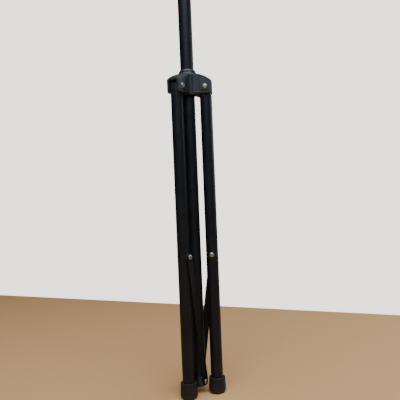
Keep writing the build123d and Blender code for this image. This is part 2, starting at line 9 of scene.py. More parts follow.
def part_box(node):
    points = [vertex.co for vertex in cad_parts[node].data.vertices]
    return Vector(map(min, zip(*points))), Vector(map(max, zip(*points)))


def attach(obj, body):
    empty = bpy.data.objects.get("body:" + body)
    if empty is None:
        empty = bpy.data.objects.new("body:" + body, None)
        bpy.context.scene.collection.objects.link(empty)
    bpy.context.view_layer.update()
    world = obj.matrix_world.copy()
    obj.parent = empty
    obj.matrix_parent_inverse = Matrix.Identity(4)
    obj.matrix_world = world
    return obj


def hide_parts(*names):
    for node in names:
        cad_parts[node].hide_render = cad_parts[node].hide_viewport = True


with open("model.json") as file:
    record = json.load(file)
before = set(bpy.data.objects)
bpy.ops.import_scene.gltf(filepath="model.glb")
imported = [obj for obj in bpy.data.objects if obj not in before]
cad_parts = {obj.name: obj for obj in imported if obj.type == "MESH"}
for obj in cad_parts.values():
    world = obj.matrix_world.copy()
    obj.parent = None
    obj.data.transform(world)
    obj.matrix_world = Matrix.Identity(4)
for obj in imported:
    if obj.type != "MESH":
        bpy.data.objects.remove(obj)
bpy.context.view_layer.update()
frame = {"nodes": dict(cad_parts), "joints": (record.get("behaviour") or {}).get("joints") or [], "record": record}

# A folding boom microphone stand. Metres, +Z up, column axis on Z, floor at Z = 0.
# Lengths of small details are given in millimetres, as a number times MM.

MM = 0.001
LEGS = (1, 2, 3)
RECORD_SLOT = {entry["node"]: entry["material_slot"] for entry in frame["record"]["subparts"]}
BODY_OF = {
    node: body
    for body, nodes in frame["record"]["behaviour"]["bodies"].items()
    for node in nodes
}


# ---- camera, floor and light --------------------------------------------------------------

CAMERA_PLACE = Vector((-0.0047, -0.8305, 0.3371))
CAMERA_LENS = 45.0                 # in mm, on the sensor below
CAMERA_SENSOR = 36.0               # width, in mm
CAMERA_NEAR = 0.01                 # nothing closer than this is drawn
CAMERA_YAW = math.radians(1.2)     # to the right of straight along +Y
CAMERA_PITCH = math.radians(-1.15)
CAMERA_ROLL = math.radians(2.33)


def make_camera():
    """A view of the folded base from knee height, with the horizon a little tilted."""
    data = bpy.data.cameras.new("camera")
    data.sensor_width = CAMERA_SENSOR
    data.lens = CAMERA_LENS
    data.clip_start = CAMERA_NEAR
    camera = bpy.data.objects.new("camera", data)
    bpy.context.scene.collection.objects.link(camera)
    turn = Matrix.Rotation(-CAMERA_YAW, 4, "Z")
    tip = Matrix.Rotation(math.pi / 2 + CAMERA_PITCH, 4, "X")
    roll = Matrix.Rotation(-CAMERA_ROLL, 4, "Z")
    camera.matrix_world = Matrix.Translation(CAMERA_PLACE) @ turn @ tip @ roll
    bpy.context.scene.camera = camera


FLOOR_SIDE = 2.0
FLOOR_FRONT = -2.4
FLOOR_BACK = 0.635           # the back edge behind the column
FLOOR_SLANT = -0.42          # how the back edge comes nearer towards the right, per metre
FLOOR_COLOUR = (0.62, 0.34, 0.135, 1.0)
FLOOR_ROUGHNESS = 0.7


def make_floor():
    """A plain pale floor that ends a little way behind the stand, along a slanted edge."""
    bm = bmesh.new()
    slant = FLOOR_SIDE * FLOOR_SLANT
    corners = [(-FLOOR_SIDE, FLOOR_FRONT), (FLOOR_SIDE, FLOOR_FRONT),
               (FLOOR_SIDE, FLOOR_BACK + slant), (-FLOOR_SIDE, FLOOR_BACK - slant)]
    bm.faces.new([bm.verts.new((x, y, 0.0)) for x, y in corners])
    mesh = bpy.data.meshes.new("floor")
    bm.to_mesh(mesh)
    bm.free()
    floor = bpy.data.objects.new("floor", mesh)
    bpy.context.scene.collection.objects.link(floor)
    material, shader = new_material("floor")
    shader.inputs["Base Color"].default_value = FLOOR_COLOUR
    shader.inputs["Roughness"].default_value = FLOOR_ROUGHNESS
    mesh.materials.append(material)


WALL_COLOUR = (1.0, 0.965, 0.93, 1.0)
WALL_STRENGTH = 2.4
ROOM_COLOUR = (0.040, 0.050, 0.070, 1.0)


def make_world():
    """A pale background, with a dimmer room around it for the surfaces to reflect."""
    world = bpy.data.worlds.new("studio")
    bpy.context.scene.world = world
    world.use_nodes = True
    nodes = world.node_tree.nodes
    links = world.node_tree.links
    nodes.clear()
    output = nodes.new("ShaderNodeOutputWorld")
    mix = nodes.new("ShaderNodeMixShader")
    room = nodes.new("ShaderNodeBackground")
    wall = nodes.new("ShaderNodeBackground")
    seen = nodes.new("ShaderNodeLightPath")
    room.inputs["Color"].default_value = ROOM_COLOUR
    wall.inputs["Color"].default_value = WALL_COLOUR
    wall.inputs["Strength"].default_value = WALL_STRENGTH
    links.new(seen.outputs["Is Camera Ray"], mix.inputs["Fac"])
    links.new(room.outputs["Background"], mix.inputs[1])
    links.new(wall.outputs["Background"], mix.inputs[2])
    links.new(mix.outputs["Shader"], output.inputs["Surface"])


def make_area_light(name, place, aim, size, power, colour):
    """A soft rectangular light, with its power in watts."""
    data = bpy.data.lights.new(name, "AREA")
    data.shape = "RECTANGLE"
    data.size, data.size_y = size
    data.energy = power
    data.color = colour
    light = bpy.data.objects.new(name, data)
    bpy.context.scene.collection.objects.link(light)
    light.location = place
    light.rotation_euler = (Vector(aim) - Vector(place)).to_track_quat("-Z", "Y").to_euler()


DAYLIGHT = (0.86, 0.93, 1.0)
WINDOW_LIGHT = (0.84, 0.92, 1.0)


def make_lights():
    """A ceiling, a window on the right a little behind the stand, and a weak fill in front."""
    make_area_light("ceiling", place=(0.1, -0.6, 1.9), aim=(0, 0, 0.6),
                    size=(1.6, 1.6), power=50, colour=DAYLIGHT)
    make_area_light("window", place=(1.45, 0.66, 0.72), aim=(0, 0, 0.55),
                    size=(0.8, 0.6), power=10, colour=WINDOW_LIGHT)
    make_area_light("front_fill", place=(-0.15, -1.5, 1.5), aim=(0, 0, 0.6),
                    size=(2.0, 0.8), power=13, colour=DAYLIGHT)


# ---- materials ----------------------------------------------------------------------------

def new_material(name):
    """A material and its shader."""
    material = bpy.data.materials.new(name)
    material.use_nodes = True
    return material, material.node_tree.nodes["Principled BSDF"]


DUSTY_SLOPE = (0.35, 0.95)   # Z of the normal where dust begins to lie, and where it lies fully


class Recipe:
    """A procedural material, built up from patterns in the piece's own coordinates."""

    def __init__(self, name, metallic=0.0, **sockets):
        self.material, self.shader = new_material(name)
        self.nodes = self.material.node_tree.nodes
        self.links = self.material.node_tree.links
        self.place = self.nodes.new("ShaderNodeTexCoord").outputs["Object"]
        self.normal = None
        self.shader.inputs["Metallic"].default_value = metallic
        for socket, value in sockets.items():
            self.shader.inputs[socket.replace("_", " ")].default_value = value

    def stretched(self, scale):
        """The piece's coordinates, scaled on each axis."""
        mapping = self.nodes.new("ShaderNodeMapping")
        mapping.inputs["Scale"].default_value = scale
        self.links.new(self.place, mapping.inputs["Vector"])
        return mapping.outputs["Vector"]

    def noise(self, size, detail=3.0, rough=0.55, along=None):
        """Cloudy noise with features of about that size, in metres. along stretches it on each axis."""
        node = self.nodes.new("ShaderNodeTexNoise")
        node.inputs["Scale"].default_value = 1.0 / size
        node.inputs["Detail"].default_value = detail
        node.inputs["Roughness"].default_value = rough
        self.links.new(self.stretched(along) if along else self.place, node.inputs["Vector"])
        return node.outputs["Fac"]

    def ramp(self, value, low, high, start=0.0, end=1.0):
        """The value, spread from low..high to start..end and held at the ends."""
        node = self.nodes.new("ShaderNodeMapRange")
        node.interpolation_type = "SMOOTHSTEP"
        node.inputs["From Min"].default_value = low
        node.inputs["From Max"].default_value = high
        node.inputs["To Min"].default_value = start
        node.inputs["To Max"].default_value = end
        self.links.new(value, node.inputs["Value"])
        return node.outputs["Result"]

    def spread(self, value, start, end):
        """A value from 0 to 1, spread to start..end."""
        return self.ramp(value, 0.0, 1.0, start, end)

    def patches(self, size, low, high, **noise):
        """Patches of about that size: 0 where the noise is under low, and 1 where it is over high."""
        return self.ramp(self.noise(size, **noise), low, high)

    def product(self, first, second):
        """Two values multiplied."""
        node = self.nodes.new("ShaderNodeMath")
        node.operation = "MULTIPLY"
        self.links.new(first, node.inputs[0])
        self.links.new(second, node.inputs[1])
        return node.outputs["Value"]

    def total(self, first, second):
        """Two values added, held at 1."""
        node = self.nodes.new("ShaderNodeMath")
        node.operation = "ADD"
        node.use_clamp = True
        self.links.new(first, node.inputs[0])
        self.links.new(second, node.inputs[1])
        return node.outputs["Value"]

    def blend(self, amount, first, second):
        """A colour between two, which are colours or colour outputs."""
        node = self.nodes.new("ShaderNodeMix")
        node.data_type = "RGBA"
        self.links.new(amount, node.inputs["Factor"])
        for socket, colour in (("A", first), ("B", second)):
            target = [s for s in node.inputs if s.name == socket and s.type == "RGBA"][0]
            if isinstance(colour, tuple):
                target.default_value = (*colour, 1.0)
            else:
                self.links.new(colour, target)
        return [s for s in node.outputs if s.type == "RGBA"][0]

    def z_of(self, vector):
        """The Z of a vector."""
        split = self.nodes.new("ShaderNodeSeparateXYZ")
        self.links.new(vector, split.inputs["Vector"])
        return split.outputs["Z"]

    def edges(self, low, high):
        """1 where the surface is as sharp as high and 0 where it is as sharp as low. Flat is 0.5."""
        geometry = self.nodes.new("ShaderNodeNewGeometry")
        return self.ramp(geometry.outputs["Pointiness"], low, high)

    def facing_up(self):
        """1 where the surface faces up, for dust that settles there."""
        geometry = self.nodes.new("ShaderNodeNewGeometry")
        return self.ramp(self.z_of(geometry.outputs["Normal"]), *DUSTY_SLOPE)

    def colour(self, output):
        self.links.new(output, self.shader.inputs["Base Color"])

    def roughness(self, output):
        self.links.new(output, self.shader.inputs["Roughness"])

    def bump(self, height, depth):
        """Raises the surface by up to that depth, in metres. Bumps add up."""
        node = self.nodes.new("ShaderNodeBump")
        node.inputs["Distance"].default_value = depth
        self.links.new(height, node.inputs["Height"])
        if self.normal:
            self.links.new(self.normal, node.inputs["Normal"])
        self.normal = node.outputs["Normal"]
        self.links.new(self.normal, self.shader.inputs["Normal"])


def times(colour, factor):
    return tuple(channel * factor for channel in colour)


ALONG_TUBE = (1.0, 1.0, 0.02)          # draws noise out into streaks along Z
DUST = (0.16, 0.15, 0.135)
FLOOR_DIRT = (0.09, 0.075, 0.06)
CHALK = (0.045, 0.042, 0.038)
# the colour that the hollows of plated steel are darkened towards
HOLLOW_DARK = (0.10, 0.095, 0.09)
BARE_ZINC = (0.30, 0.30, 0.31)
RUBBER = (0.0075, 0.0068, 0.0060)
RUBBER_PALE = (0.013, 0.0115, 0.010)
PAINT = (0.012, 0.012, 0.013)
PAINT_PALE = (0.020, 0.020, 0.022)
FOOT_DIRT_TOP = 12 * MM                # height where the dirt on the feet begins
FOOT_DIRT_FULL = 1 * MM


def coated_tube(name, base, worn, gloss):
    """Satin black powder coat: orange peel, faint rub marks along the tube and a little dust."""
    look = Recipe(name, Specular_IOR_Level=0.25)
    cloud = look.patches(40 * MM, low=0.35, high=0.7, detail=4.0)
    streak = look.patches(1.2 * MM, low=0.60, high=0.75, rough=0.6, along=ALONG_TUBE)
    speck = look.patches(0.9 * MM, low=0.70, high=0.78, detail=2.0, rough=0.7)
    marks = look.total(look.product(streak, cloud), speck)
    tone = look.blend(cloud, base, times(base, 1.35))
    look.colour(look.blend(marks, tone, worn))
    wear = look.total(marks, look.noise(15 * MM, detail=5.0))
    look.roughness(look.ramp(wear, low=0.2, high=1.0, start=gloss, end=gloss + 0.18))
    look.bump(look.noise(0.55 * MM, detail=2.0), depth=0.012 * MM)
    look.bump(look.noise(6 * MM, detail=2.0), depth=0.03 * MM)
    return look.material


def moulded_plastic(name, base, worn, gloss=0.5):
    """Fine-grained moulded plastic with pale rubbed edges and dust on top."""
    look = Recipe(name, Specular_IOR_Level=0.45)
    cloud = look.patches(9 * MM, low=0.3, high=0.75, detail=5.0)
    rub = look.product(look.edges(low=0.53, high=0.62),
                       look.patches(2.5 * MM, low=0.42, high=0.6, detail=4.0))
    dust = look.product(look.facing_up(),
                        look.patches(1.1 * MM, low=0.45, high=0.7, detail=4.0, rough=0.7))
    tone = look.blend(cloud, base, times(base, 1.3))
    tone = look.blend(look.spread(dust, 0.0, 0.35), tone, DUST)
    look.colour(look.blend(look.spread(rub, 0.0, 0.6), tone, worn))
    look.roughness(look.spread(cloud, gloss - 0.06, gloss + 0.08))
    look.bump(look.noise(0.25 * MM, detail=2.0, rough=0.6), depth=0.02 * MM)
    look.bump(look.noise(3 * MM), depth=0.02 * MM)
    return look.material


def moulded_rubber(name):
    """Dull black-brown rubber, chalky where it rubs and dusty near the floor."""
    look = Recipe(name, Specular_IOR_Level=0.35)
    cloud = look.patches(5 * MM, low=0.3, high=0.7, detail=5.0)
    chalk = look.product(look.edges(low=0.52, high=0.60),
                         look.patches(1.5 * MM, low=0.4, high=0.62, detail=4.0))
    low_down = look.ramp(look.z_of(look.place), FOOT_DIRT_TOP, FOOT_DIRT_FULL)
    dirt = look.product(low_down, look.patches(0.8 * MM, low=0.4, high=0.65, detail=4.0, rough=0.7))
    tone = look.blend(cloud, RUBBER, RUBBER_PALE)
    tone = look.blend(look.spread(dirt, 0.0, 0.5), tone, FLOOR_DIRT)
    look.colour(look.blend(look.spread(chalk, 0.0, 0.5), tone, CHALK))
    look.roughness(look.spread(cloud, 0.62, 0.8))
    look.bump(look.noise(0.3 * MM, rough=0.65), depth=0.03 * MM)
    look.bump(look.noise(2.2 * MM), depth=0.04 * MM)
    return look.material


def plated_steel(name, base, gloss):
    """Bright plated steel with fine tool marks and dull spots, made darker in the hollows."""
    look = Recipe(name, metallic=1.0)
    cloud = look.patches(1.6 * MM, low=0.35, high=0.7, detail=5.0)
    # the hollows, where the surface is less pointed than flat, are made darker, up to 0.8 of the way to this
    # colour
    hollow_dark = look.spread(look.edges(low=0.50, high=0.44), 0.0, 0.8)
    tone = look.blend(cloud, base, times(base, 0.8))
    look.colour(look.blend(hollow_dark, tone, HOLLOW_DARK))
    look.roughness(look.spread(cloud, gloss, gloss + 0.16))
    look.bump(look.noise(0.18 * MM, detail=2.0, rough=0.6), depth=0.006 * MM)
    look.bump(look.noise(1.2 * MM, detail=2.0), depth=0.02 * MM)
    return look.material


def painted_casting(name):
    """Black paint over a slightly uneven zinc casting, thin on the edges."""
    look = Recipe(name, Specular_IOR_Level=0.5)
    cloud = look.patches(8 * MM, low=0.35, high=0.7, detail=4.0)
    chips = look.product(look.edges(low=0.55, high=0.62),
                         look.patches(1.4 * MM, low=0.5, high=0.6, detail=4.0))
    tone = look.blend(cloud, PAINT, PAINT_PALE)
    look.colour(look.blend(chips, tone, BARE_ZINC))
    look.roughness(look.spread(cloud, 0.32, 0.46))
    look.bump(look.noise(0.6 * MM), depth=0.02 * MM)
    look.bump(look.noise(4 * MM, detail=2.0), depth=0.06 * MM)
    return look.material


# Each slot in the record, with the kind of material it gets and that material's settings.
LOOKS = {
    "black_powder_coat": (coated_tube, {"base": (0.0035, 0.0050, 0.0080),
                                        "worn": (0.025, 0.027, 0.03), "gloss": 0.40}),
    "black_strip": (coated_tube, {"base": (0.0045, 0.0055, 0.0075),
                                  "worn": (0.04, 0.04, 0.042), "gloss": 0.46}),
    "housing_plastic": (moulded_plastic, {"base": (0.012, 0.0155, 0.021), "worn": (0.14, 0.14, 0.14)}),
    "knob_plastic": (moulded_plastic, {"base": (0.010, 0.011, 0.013),
                                       "worn": (0.10, 0.10, 0.10), "gloss": 0.42}),
    "nylon": (moulded_plastic, {"base": (0.011, 0.0135, 0.018), "worn": (0.07, 0.07, 0.07)}),
    "rivet_steel": (plated_steel, {"base": (0.30, 0.32, 0.36), "gloss": 0.42}),
    "zinc_steel": (plated_steel, {"base": (0.60, 0.61, 0.63), "gloss": 0.3}),
    "brass_insert": (plated_steel, {"base": (0.72, 0.56, 0.26), "gloss": 0.3}),
    "foot_rubber": (moulded_rubber, {}),
    "cast_black": (painted_casting, {}),
}
MATERIALS = {slot: make(slot, **settings) for slot, (make, settings) in LOOKS.items()}


# ---- mesh helpers -------------------------------------------------------------------------

SHARP = math.radians(35)               # edges that turn more than this stay sharp
RIBBED_SHARP = math.radians(50)        # the same for pieces with ribs or seams
THREAD_SHARP = math.radians(60)
BEVEL_SHARP = math.radians(40)
FLAT = math.radians(1)                 # faces that turn less than this are joined up
BEVEL_SEGMENTS = 3
WELD = 0.002 * MM
NO_LENGTH = 1e-9
ON_AXIS = 1e-7                         # points nearer the axis than this become one point
EDGE_SHARE = 0.49                      # most of an edge that one end's rounding may use
SMOOTHING = 0.5


def middle_of(node):
    """The middle of a CAD node's box."""
    low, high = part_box(node)
    return (Vector(low) + Vector(high)) / 2


def size_of(node):
    """The size of a CAD node's box."""
    low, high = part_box(node)
    return Vector(high) - Vector(low)


def heights_of(node):
    """The lowest and highest Z of a CAD node."""
    low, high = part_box(node)
    return low[2], high[2]


def add_piece(name, bm, node, sharp=SHARP):
    """Makes a piece of the mesh, in a CAD node's place, on its body and with its material slot."""
    bmesh.ops.recalc_face_normals(bm, faces=bm.faces)
    mesh = bpy.data.meshes.new(name)
    bm.to_mesh(mesh)
    bm.free()
    return place_piece(name, mesh, node, sharp)


def place_piece(name, mesh, node, sharp):
    """Puts a mesh in a CAD node's place, with smooth faces and that node's body and material."""
    for polygon in mesh.polygons:
        polygon.use_smooth = True
    mesh.set_sharp_from_angle(angle=sharp)
    slot = RECORD_SLOT[node]
    mesh.materials.clear()
    mesh.materials.append(MATERIALS[slot])
    piece = bpy.data.objects.new(name, mesh)
    bpy.context.scene.collection.objects.link(piece)
    even = piece.modifiers.new("even_normals", "WEIGHTED_NORMAL")
    even.keep_sharp = True
    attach(piece, BODY_OF[node])
    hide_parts(node)
    return piece


def rounded(corners, steps=4):
    """An outline of (radius, height) points from corners of (radius, height, rounding)."""
    outline = []
    count = len(corners)
    for index, (radius, height, rounding) in enumerate(corners):
        corner = Vector((radius, height))
        before = Vector(corners[(index - 1) % count][:2]) - corner
        after = Vector(corners[(index + 1) % count][:2]) - corner
        if rounding <= 0.0 or min(before.length, after.length) < NO_LENGTH:
            outline.append(corner)
            continue
        half = before.angle(after) / 2
        back = min(rounding / math.tan(half), EDGE_SHARE * before.length, EDGE_SHARE * after.length)
        start = corner + before.normalized() * back
        end = corner + after.normalized() * back
        for step in range(steps + 1):
            t = step / steps
            outline.append(start.lerp(corner, t).lerp(corner.lerp(end, t), t))
    return outline


def lathe(bm, outline, place, closed=False, segments=96, reach=None):
    """Turns an outline of (radius, height) points about Z. reach may change the radius by angle."""
    rings = []
    for radius, height in outline:
        if radius < ON_AXIS:
            rings.append([bm.verts.new(place @ Vector((0, 0, height)))])
            continue
        ring = []
        for segment in range(segments):
            angle = 2 * math.pi * segment / segments
            r = reach(angle, radius, height) if reach else radius
            ring.append(bm.verts.new(place @ Vector((r * math.cos(angle), r * math.sin(angle), height))))
        rings.append(ring)
    pairs = list(zip(rings, rings[1:]))
    if closed:
        pairs.append((rings[-1], rings[0]))
    for lower, upper in pairs:
        for segment in range(segments):
            after = (segment + 1) % segments
            face = [lower[segment % len(lower)], lower[after % len(lower)],
                    upper[after % len(upper)], upper[segment % len(upper)]]
            face = list(dict.fromkeys(face))
            if len(face) > 2:
                bm.faces.new(face)


def upright(node):
    """A place on the upright axis of a CAD node."""
    middle = middle_of(node)
    return Matrix.Translation((middle.x, middle.y, 0))


def along(start, end):
    """A place whose Z runs from start towards end."""
    direction = Vector(end) - Vector(start)
    return Matrix.Translation(start) @ direction.to_track_quat("Z", "Y").to_matrix().to_4x4()


def copy_of(node):
    """A welded copy of a CAD node's mesh."""
    bm = bmesh.new()
    bm.from_mesh(frame["nodes"][node].data)
    bmesh.ops.remove_doubles(bm, verts=bm.verts, dist=WELD)
    mesh = bpy.data.meshes.new(node + "_copy")
    bm.to_mesh(mesh)
    bm.free()
    return mesh


def finished_mesh(mesh, modifiers):
    """The mesh after these modifiers, each given as (kind, settings)."""
    holder = bpy.data.objects.new("holder", mesh)
    bpy.context.scene.collection.objects.link(holder)
    for kind, settings in modifiers:
        modifier = holder.modifiers.new(kind, kind)
        for name, value in settings.items():
            setattr(modifier, name, value)
    depsgraph = bpy.context.evaluated_depsgraph_get()
    result = bpy.data.meshes.new_from_object(holder.evaluated_get(depsgraph))
    bpy.data.objects.remove(holder)
    return result


def soften(name, node, voxel, passes, keep):
    """A moulded or cast version of a CAD node: the same shape with every edge rounded over.

    voxel is the finest detail left, and keep is the share of the faces that are kept.
    """
    mesh = finished_mesh(copy_of(node), [
        ("REMESH", {"mode": "VOXEL", "voxel_size": voxel}),
        ("SMOOTH", {"factor": SMOOTHING, "iterations": passes}),
        ("DECIMATE", {"ratio": keep}),
    ])
    return place_piece(name, mesh, node, math.pi)


def bevelled(name, node, width):
    """A CAD node with small rounded edges."""
    mesh = finished_mesh(copy_of(node), [
        ("DECIMATE", {"decimate_type": "DISSOLVE", "angle_limit": FLAT}),
        ("BEVEL", {"width": width, "segments": BEVEL_SEGMENTS, "limit_method": "ANGLE",
                   "angle_limit": BEVEL_SHARP, "harden_normals": False}),
    ])
    return place_piece(name, mesh, node, BEVEL_SHARP)


# ---- tubes --------------------------------------------------------------------------------

COLUMN_WALL = 1.5 * MM
THIN_WALL = 1.2 * MM
TUBE_LIP = 0.3 * MM          # rounding of a tube's cut ends
TUBE_SEGMENTS = 128


def make_tube(name, node, wall):
    """A drawn steel tube with its cut ends broken."""
    radius = size_of(node).x / 2
    low, high = heights_of(node)
    outline = rounded([(radius, low, TUBE_LIP), (radius, high, TUBE_LIP),
                       (radius - wall, high, TUBE_LIP), (radius - wall, low, TUBE_LIP)])
    bm = bmesh.new()
    lathe(bm, outline, upright(node), closed=True, segments=TUBE_SEGMENTS)
    add_piece(name, bm, node)


def make_tubes():
    """The column, the inner tube, the boom and the three legs."""
    make_tube("column", "column_tube", COLUMN_WALL)
    make_tube("telescopic_tube", "inner_tube", THIN_WALL)
    make_tube("boom", "boom_tube", THIN_WALL)
    for leg in LEGS:
        make_tube(f"leg_{leg}_tube", f"leg_tube_{leg}", THIN_WALL)


# ---- feet ---------------------------------------------------------------------------------

FOOT_HEEL = 6 * MM           # rounding under the foot
FOOT_HEEL_STEPS = 8
FOOT_TAPER = 0.8 * MM        # the foot is this much thinner at the top
FOOT_WAIST = 13 * MM         # height of the ring between the heel and the grooves
FOOT_GROOVES = (19.5 * MM, 23.2 * MM)
FOOT_GROOVE = 0.8 * MM       # a groove's depth and half its width
FOOT_GROOVE_SLOPE = 0.35 * MM
FOOT_GROOVE_EDGE = 0.25 * MM
SEAM_RISE = 0.12 * MM        # moulding seams up the two sides
SEAM_HALF_WIDTH = 0.35 * MM
SEAM_MARGIN = 1 * MM         # the seams stop this far from the sole and the bore
FOOT_SEGMENTS = 180


def foot_outline(radius, height, bore, floor):
    """The corners of a foot's section, from the middle of the sole round to the floor of its bore."""
    top = radius - FOOT_TAPER

    def side(z):
        return radius + (top - radius) * (z - FOOT_HEEL) / (height - FOOT_HEEL)

    flat = radius - FOOT_HEEL
    corners = [(0, 0, 0), (flat, 0, 1.0 * MM)]
    for step in range(1, FOOT_HEEL_STEPS):
        angle = math.pi / 2 * step / FOOT_HEEL_STEPS
        corners.append((flat + FOOT_HEEL * math.sin(angle), FOOT_HEEL - FOOT_HEEL * math.cos(angle), 0))
    corners += [(radius, FOOT_HEEL, 0), (side(FOOT_WAIST), FOOT_WAIST, 0)]
    for groove in FOOT_GROOVES:
        low = groove - FOOT_GROOVE
        high = groove + FOOT_GROOVE
        corners += [(side(low), low, FOOT_GROOVE_EDGE),
                    (side(low) - FOOT_GROOVE, low + FOOT_GROOVE_SLOPE, FOOT_GROOVE_EDGE),
                    (side(high) - FOOT_GROOVE, high - FOOT_GROOVE_SLOPE, FOOT_GROOVE_EDGE),
                    (side(high), high, FOOT_GROOVE_EDGE)]
    return corners + [(top, height, 0.9 * MM), (bore, height, 0.4 * MM), (bore, floor, 0), (0, floor, 0)]


def make_foot(leg):
    """A rubber cup: rounded under the heel, two grooves under the rim and two moulding seams."""
    node = f"foot_{leg}"
    tube = f"leg_tube_{leg}"
    bore = size_of(tube).x / 2
    corners = foot_outline(size_of(node).x / 2, size_of(node).z, bore, heights_of(tube)[0])

    def seamed(angle, r, z):
        on_seam = abs(math.sin(angle) * r) < SEAM_HALF_WIDTH
        outside = r > bore + SEAM_MARGIN and z > SEAM_MARGIN
        return r + SEAM_RISE if on_seam and outside else r

    bm = bmesh.new()
    lathe(bm, rounded(corners, 3), upright(node), segments=FOOT_SEGMENTS, reach=seamed)
    add_piece(f"foot_{leg}_rubber", bm, node, RIBBED_SHARP)


# ---- rivets -------------------------------------------------------------------------------

RIVET_HEAD = 4.2 * MM        # radius of a head
RIVET_RISE = 2.1 * MM        # height of a head
RIVET_RIM = 0.35 * MM        # upright edge of a head, under its dome
RIVET_DOME_STEPS = 8
RIVET_SEGMENTS = 48
HINGE_STEM = 3 * MM
HINGE_CHEEK = 12.8 * MM      # from the middle of a lug to its sides
LEG_STEM = 2.5 * MM
LEG_RIVET_BACK = 9.2 * MM    # from the leg's axis to the rivet's seat on the side away from the strut
LEG_RIVET_FRONT = 13.55 * MM
STRUT_INNER = 11.4 * MM      # from the column's axis to the strut's inner face
STRUT_OUTER = 13.4 * MM


def add_rivet(bm, place, stem, length, two_heads=True):
    """A rivet along the place's Z, from 0 to length. Without two_heads, only the far end has one."""
    turns = [math.pi / 2 * step / RIVET_DOME_STEPS for step in range(1, RIVET_DOME_STEPS)]
    dome = RIVET_RISE - RIVET_RIM
    head = [(stem, 0), (RIVET_HEAD, 0), (RIVET_HEAD, RIVET_RIM)]
    head += [(RIVET_HEAD * math.cos(turn), RIVET_RIM + dome * math.sin(turn)) for turn in turns]
    head.append((0, RIVET_RISE))
    near_end = head if two_heads else [(stem, 0), (0, 0)]
    outline = [(radius, -height) for radius, height in reversed(near_end)]
    outline += [(radius, length + height) for radius, height in head]
    lathe(bm, outline, place, segments=RIVET_SEGMENTS)


def leg_direction(leg):
    """Unit vector out from the column towards a leg."""
    middle = middle_of(f"leg_tube_{leg}")
    return Vector((middle.x, middle.y, 0)).normalized()


def side_direction(leg):
    """Unit vector along a leg's hinge pin, towards its strut."""
    return Vector((0, 0, 1)).cross(leg_direction(leg))


def joint_named(name):
    """The record's joint of that name."""
    return next(joint for joint in frame["joints"] if joint["name"] == name)


def make_hinge_rivets():
    """The three rivets through the housing's lugs, in one piece."""
    bm = bmesh.new()
    for leg in LEGS:
        pin = Vector(joint_named(f"leg_{leg}_spread")["pos_m"])
        reach = side_direction(leg) * HINGE_CHEEK
        add_rivet(bm, along(pin - reach, pin + reach), HINGE_STEM, 2 * HINGE_CHEEK)
    add_piece("hinge_rivets", bm, "leg_hinge_rivets")


def make_leg_rivet(leg):
    """The rivet through a leg and its strut."""
    pivot = Vector(joint_named(f"strut_{leg}_swing")["pos_m"])
    side = side_direction(leg)
    place = along(pivot - side * LEG_RIVET_BACK, pivot + side * LEG_RIVET_FRONT)
    bm = bmesh.new()
    add_rivet(bm, place, LEG_STEM, LEG_RIVET_BACK + LEG_RIVET_FRONT)
    add_piece(f"leg_{leg}_rivet", bm, f"leg_rivet_{leg}")


def make_strut_rivet(leg):
    """The rivet at the strut's lower end."""
    side = side_direction(leg)
    node = f"strut_rivet_{leg}"
    start = side * STRUT_INNER + Vector((0, 0, middle_of(node).z))
    bm = bmesh.new()
    add_rivet(bm, along(start, start + side), LEG_STEM, STRUT_OUTER - STRUT_INNER, two_heads=False)
    add_piece(f"strut_{leg}_rivet", bm, node)


# ---- the housing's bush and locking knob --------------------------------------------------

BUSH_PLAY = 0.08 * MM        # between the column and the bush
BUSH_STEP = 2.1 * MM         # from the collar's side in to the sleeve
COLLAR_TAPER = 2.3 * MM      # how much thinner the collar is at its top
COLLAR_HEIGHT = 4.1 * MM
COLLAR_SIDE = 0.8 * MM       # upright part of the collar's side


def make_bush():
    """The sleeve in the housing, with its cone-topped collar round the column."""
    node = "housing_bush"
    collar = size_of(node).x / 2
    sleeve = collar - BUSH_STEP
    bore = size_of("column_tube").x / 2 + BUSH_PLAY
    low, high = heights_of(node)
    base = high - COLLAR_HEIGHT
    outline = rounded([(bore, low, 0.2 * MM), (sleeve, low, 0.2 * MM), (sleeve, base, 0.1 * MM),
                       (collar, base, 0.3 * MM), (collar, base + COLLAR_SIDE, 0.5 * MM),
                       (collar - COLLAR_TAPER, high, 0.4 * MM), (bore, high, 0.2 * MM)])
    bm = bmesh.new()
    lathe(bm, outline, upright(node), closed=True)
    add_piece("bush_collar", bm, node)


KNOB_R = 14.6 * MM
KNOB_FACE = 46 * MM          # from the column's axis to the knob's face
KNOB_BACK = 32 * MM
KNOB_NECK = 27.5 * MM
KNOB_NECK_R = 7 * MM
KNOB_BORE_R = 3.1 * MM
KNOB_BORE_DEPTH = 1 * MM
KNOB_DISH_R = 9.5 * MM
KNOB_DISH_FLOOR_R = 8.5 * MM
KNOB_DISH_DEPTH = 0.9 * MM
KNOB_DISH_MIDDLE = 0.7 * MM
KNOB_LOBES = 6
KNOB_VALLEY = 3.4 * MM       # depth between the lobes
KNOB_CORE = 8 * MM           # the valleys fade out towards this radius
KNOB_VALLEY_SHAPE = 1.5      # above 1, the lobes are broader than the valleys
KNOB_LOBES_START = KNOB_BACK - 1 * MM  # the neck, which is nearer the column than this, is round
KNOB_SEGMENTS = 144


